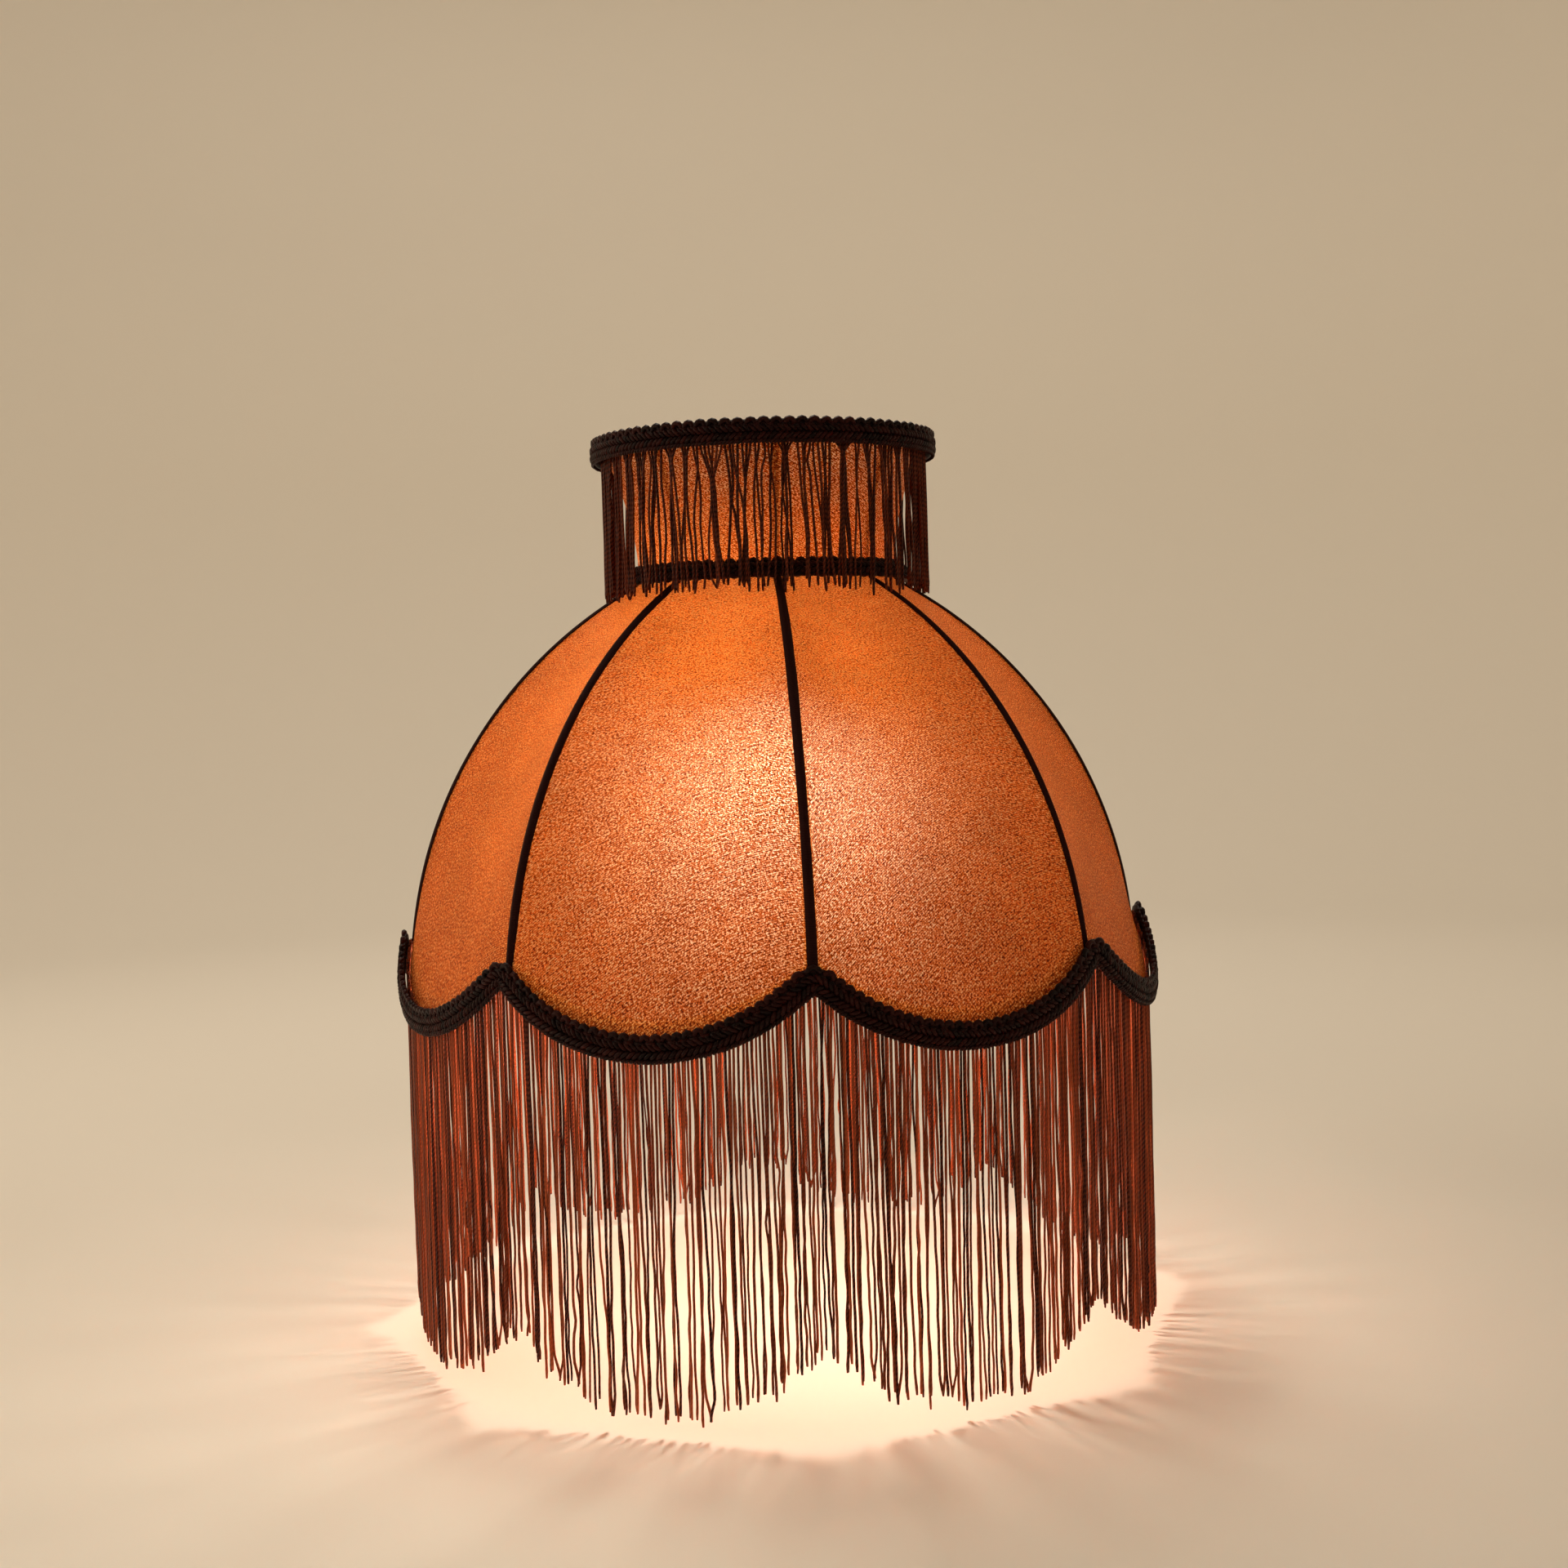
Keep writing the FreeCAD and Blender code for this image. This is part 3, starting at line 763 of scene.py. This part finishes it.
def strands(line, rng, spacing, start, drop, spread, look):
    """Hanging strands from a track: their lines, radii, directions outward and tones. Roots start
    above the track, drop is their length, and spread is how far they wander in and out, as a
    share of how far they wander sideways."""
    count = int(line["length"] / spacing)
    jitter = rng.uniform(-STRAND_JITTER, STRAND_JITTER, count)
    distance = (np.arange(count) + jitter) * line["length"] / count
    s = np.linspace(0, 1, look["points"])
    root = look_up(line, distance)[0]
    radial = unit(root * [1, 1, 0])
    sideways = unit(np.cross([0, 0, 1], radial))
    length = drop + rng.normal(0, look["uneven"], count)
    side = wandering(rng, count, s, look) + clumped(rng, distance, s, look)
    forth = wandering(rng, count, s, look) * spread
    forth += rng.uniform(-1, 1, (count, 1)) * STRAND_DEPTH
    kinked = rng.random(count) < look["kinks"]
    spot = rng.uniform(0.12, 0.9, (count, 1))
    kink = rng.choice([-1, 1], (count, 1)) * rng.uniform(*KINK_SIZES, (count, 1)) * MM
    side += kinked[:, None] * kink * np.exp(-(((s - spot) / look["kink_width"]) ** 2))
    for i in np.flatnonzero(rng.random(count - 1) < look["joined"]):
        length[i + 1] = length[i]
        gap = distance[i + 1] + side[i + 1, -1] - distance[i] - side[i, -1]
        meet = smooth_step((s - 0.93) / 0.07) * gap / 2
        side[i] += meet
        side[i + 1] -= meet
    lines = root[:, None] + sideways[:, None] * side[..., None] + radial[:, None] * forth[..., None]
    lines[..., 2] = root[:, None, 2] + start - length[:, None] * s
    radius = look["radius"] * rng.uniform(0.85, 1.2, (count, 1)) * np.ones(len(s))
    radius[:, -2:] *= TIP_RADII
    tone = rng.beta(*TONES, count) * look["painted_shade_scale"]
    return lines, radius, np.broadcast_to(radial[:, None], lines.shape), tone


def hang(name, fringe, pieces, material, node):
    """Makes a fringe's strands into so many pieces of equal length."""
    for n, part in enumerate(np.array_split(np.arange(len(fringe[0])), pieces)):
        lines, radius, side, tone = [table[part] for table in fringe]
        points, faces = tubes(lines, radius, side, STRAND_SIDES)
        tone = np.repeat(tone, lines.shape[1] * STRAND_SIDES)
        mesh = make_mesh(f"{name}_{n + 1}", points, faces, tone=tone)
        add_piece(mesh.name, mesh, material, "fringe", node)


# How each fringe hangs. waves and wiggles are (cycles, size), locks are the chances of one strand,
# two and so on gathering together, and gather is how much of the way they close up
LONG_LOOK = {
    "points": 52,
    "uneven": 2.2 * MM,
    "waves": [(0.5, 0.8 * MM), (2.2, 0.26 * MM)],
    "wiggles": [(6.0, 0.22 * MM), (10.0, 0.14 * MM)],
    "locks": [0.34, 0.44, 0.16, 0.06],
    "gather_from": (0.12, 0.75),
    "gather": (0.30, 0.75),
    "kinks": 0.03,
    "kink_width": 0.03,
    "joined": 0.12,
    "radius": 0.60 * MM,
    "painted_shade_scale": 1.0,
}
SHORT_LOOK = {
    "points": 30,
    "uneven": 1.6 * MM,
    "waves": [(0.4, 1.9 * MM), (1.3, 0.6 * MM)],
    "wiggles": [(3.5, 0.18 * MM)],
    "locks": [0.24, 0.26, 0.20, 0.14, 0.09, 0.07],
    "gather_from": (-0.5, 0.1),
    "gather": (0.5, 0.95),
    "kinks": 0.12,
    "kink_width": 0.06,
    "joined": 0.03,
    "radius": 0.60 * MM,
    # The short fringe's yarn is the long one's; its lower tone is painted shade
    "painted_shade_scale": 0.25,
}


def add_fringes(material, rng):
    """The long fringe, one piece to a scallop, and the short one, in two halves."""
    rim = track(rim_line(1.1 * MM), soften=12)
    long = strands(rim, rng, LONG_SPACING, LONG_ROOT, LONG_DROP + LONG_TUCK, 0.5, LONG_LOOK)
    hang("long_strands", long, RIBS, material, "long_fringe")
    start = TOP_Z - SHORT_TUCK
    header = track(circle_line(TOP_R + RING_WIRE / 2 + 2.0 * MM, start))
    short = strands(header, rng, SHORT_SPACING, 0.0, start - SHORT_END_Z, 0.2, SHORT_LOOK)
    hang("short_strands", short, 2, material, "short_fringe")


def add_gimps(material, rng):
    """The three gimps. The one at the waist leans back over the shoulder of the dome."""
    top = track(circle_line(TOP_R + RING_WIRE / 2 + TOP_GIMP_OUT, TOP_Z + 0.2 * MM))
    gimp("top_gimp", top, rng, material, "top_braid", 13.6, 6.1, False)
    waist = track(circle_line(WAIST_GIMP_R, WAIST_GIMP_Z), lean=radians(36))
    gimp("waist_loops", waist, rng, material, "waist_gimp", 12.6, 5.9, True)
    rim = track(rim_line(RIM_GIMP_OUT), soften=7)
    gimp("rim_gimp", rim, rng, material, "rim_braid", 14.0, 5.1, False)


# ---------------------------------------------------------------- stage, lights, camera


def add_stage(material):
    """A round pale floor that sweeps up into a backdrop on every side, just under the fringe."""
    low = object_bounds()[0].z - 2 * MM
    bend, reach, top, sides = 0.7, 1.8, 4.0, 96
    arc = [(reach + bend * sin(t), low + bend * (1 - cos(t))) for t in np.linspace(0, pi / 2, 16)]
    outline = np.array([(0.01, low), (0.6, low), (1.2, low), *arc, (reach + bend, top)])
    a = np.arange(sides) * 2 * pi / sides
    r, z = outline[:, :1], outline[:, 1:]
    points = np.stack(np.broadcast_arrays(r * np.cos(a), r * np.sin(a), z), axis=-1)
    faces = grid_faces(len(outline), sides, wrap=True) + [list(range(sides))]
    mesh = make_mesh("floor", points, faces)
    mesh.materials.append(material)
    floor = bpy.data.objects.new("floor", mesh)
    bpy.context.scene.collection.objects.link(floor)
    floor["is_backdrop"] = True


def place_light(light, place, direction):
    """Puts a light in the scene, facing a direction. The camera doesn't see it."""
    lamp = bpy.data.objects.new(light.name, light)
    lamp.location = place
    lamp.rotation_euler = Vector(direction).to_track_quat("-Z", "Y").to_euler()
    lamp.visible_camera = False
    bpy.context.scene.collection.objects.link(lamp)


def add_area(name, place, target, size, power, colour):
    light = bpy.data.lights.new(name, "AREA")
    light.size, light.energy, light.color = size, power, colour
    place_light(light, place, Vector(target) - Vector(place))


def add_bulb():
    """The warm light of a bulb inside the shade, stronger towards the front left. The bulb itself
    isn't part of the shade."""
    for kind, power in (("POINT", BULB_POWER), ("SPOT", FRONT_POWER)):
        bulb = bpy.data.lights.new("bulb", kind)
        bulb.energy, bulb.color, bulb.shadow_soft_size = power, BULB_LIGHT, BULB_SIZE
        if kind == "SPOT":
            bulb.spot_size, bulb.spot_blend = FRONT_SPREAD, 1.0
        place_light(bulb, BULB_PLACE, FRONT_AIM)


def add_lights():
    """Soft studio lights round the shade, a ring that lights the backdrop, and the bulb's light."""
    shade = (0, 0, -0.2)
    add_area("key", (-1.8, 0.0, 0.35), shade, 1.0, 8, (1.0, 0.84, 0.64))
    add_area("fill", (1.4, -1.8, 0.6), shade, 1.6, 0.8, DAYLIGHT)
    add_area("top", (-0.2, 0.7, 1.5), (0, 0, -0.03), 0.5, 9, (1.0, 0.86, 0.70))
    for k in range(BACKDROP_LIGHTS):
        a = radians(30) + k * 2 * pi / BACKDROP_LIGHTS
        power = BACKDROP_POWER + BACKDROP_SWING * sin(a)
        place, target = (1.2 * cos(a), 1.2 * sin(a), 1.5), (2.4 * cos(a), 2.4 * sin(a), 0.1)
        add_area("backdrop", place, target, 1.0, power, LAMPLIGHT)
    add_area("floor", (0.0, 1.3, 1.7), (0.0, 0.6, -0.43), 1.2, 10, (1.0, 0.93, 0.84))
    add_bulb()
    world = bpy.data.worlds.new("studio")
    world.use_nodes = True
    background = world.node_tree.nodes["Background"].inputs
    background["Color"].default_value = (*LAMPLIGHT, 1)
    background["Strength"].default_value = ROOM_STRENGTH
    bpy.context.scene.world = world
    bpy.context.scene.view_settings.view_transform = "Standard"


def add_camera():
    """The camera, a metre in front of the shade and a little above its rim, looking down at it."""
    camera = bpy.data.objects.new("camera", bpy.data.cameras.new("camera"))
    camera.data.sensor_width = SENSOR_WIDTH
    camera.data.lens = SENSOR_WIDTH * FOCAL_PIXELS / FRAME_PIXELS
    camera.data.clip_start = 0.05
    x, y = CAMERA_DISTANCE * sin(CAMERA_TURN), -CAMERA_DISTANCE * cos(CAMERA_TURN)
    place = Vector((x, y, CAMERA_HEIGHT))
    heading = -CAMERA_TURN + CAMERA_YAW
    level = cos(CAMERA_PITCH)
    ahead = Vector((sin(heading) * level, cos(heading) * level, -sin(CAMERA_PITCH)))
    turn = ahead.to_track_quat("-Z", "Y").to_matrix().to_4x4()
    camera.matrix_world = Matrix.Translation(place) @ turn @ Matrix.Rotation(-CAMERA_ROLL, 4, "Z")
    bpy.context.scene.collection.objects.link(camera)
    bpy.context.scene.camera = camera


# ---------------------------------------------------------------- the whole


def dress_nodes():
    """The frame's wires stay as the CAD made them, and get their metal."""
    plate, wire = plated_steel(), dipped_wire()
    for name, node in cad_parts.items():
        node.data.materials.clear()
        node.data.materials.append(plate if name.startswith("spider") else wire)
        node.data.polygons.foreach_set("use_smooth", [False] * len(node.data.polygons))


def main():
    rng = np.random.default_rng(SEED)
    dress_nodes()
    add_panels(shade_cloth("dome_fabric", 0.137), rng)
    # The collar's cloth is the dome's; its larger share of light through is painted light, so it
    # glows brighter
    add_collar(shade_cloth("collar_fabric_brightened", 0.40))
    add_tapes(tape_cloth(), rng)
    braid = trim_yarn("braid_yarn", (0.004, 0.0004, 0.0004), (0.040, 0.0050, 0.0034), 0.42, 500)
    strand = trim_yarn("fringe_yarn", (0.014, 0.0012, 0.0010), (0.60, 0.125, 0.042), 0.36, 420)
    add_gimps(braid, rng)
    add_fringes(strand, rng)
    add_stage(plain_paper())
    add_lights()
    add_camera()


main()
